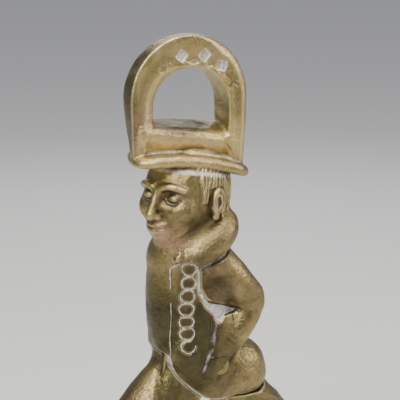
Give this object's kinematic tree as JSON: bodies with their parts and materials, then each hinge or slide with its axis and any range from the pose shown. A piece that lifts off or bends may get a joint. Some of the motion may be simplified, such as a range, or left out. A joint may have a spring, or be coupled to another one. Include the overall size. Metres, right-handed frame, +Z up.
{
  "type": "nutcracker",
  "caption": "Cast brass figural nutcracker: a standing coachman under a horseshoe loop, whose two bowed legs are the levers, hinged at the hips.",
  "frame": {"origin": "centre of the standing plane under the bounding box", "axes": "+Z up, from the soles to the horseshoe; -X is the way the figure faces; -Y is the figure's left side, where the coat buttons are; the hinge pin lies along Y"},
  "size_m": [0.09, 0.0278, 0.193],
  "materials": {
    "cast_brass": "cast, filed and rubbed, golden olive with brown patina and pale dried polish in the crevices",
    "pin_brass": "turned brass, filed flush and tarnished"
  },
  "bodies": {
    "figure": {"figure_body": "cast_brass", "front_leg": "cast_brass", "hinge_pin": "pin_brass", "lock_rivet": "pin_brass", "hinge_washers": "pin_brass"},
    "rear_lever": {"rear_leg": "cast_brass"}
  },
  "joints": [
    {"name": "rear_leg_swing", "type": "hinge", "parent": "figure", "child": "rear_lever", "pos_m": [0.00345, 0, 0.084], "axis": [0, 1, 0], "range_deg": [0, 25]}
  ]
}
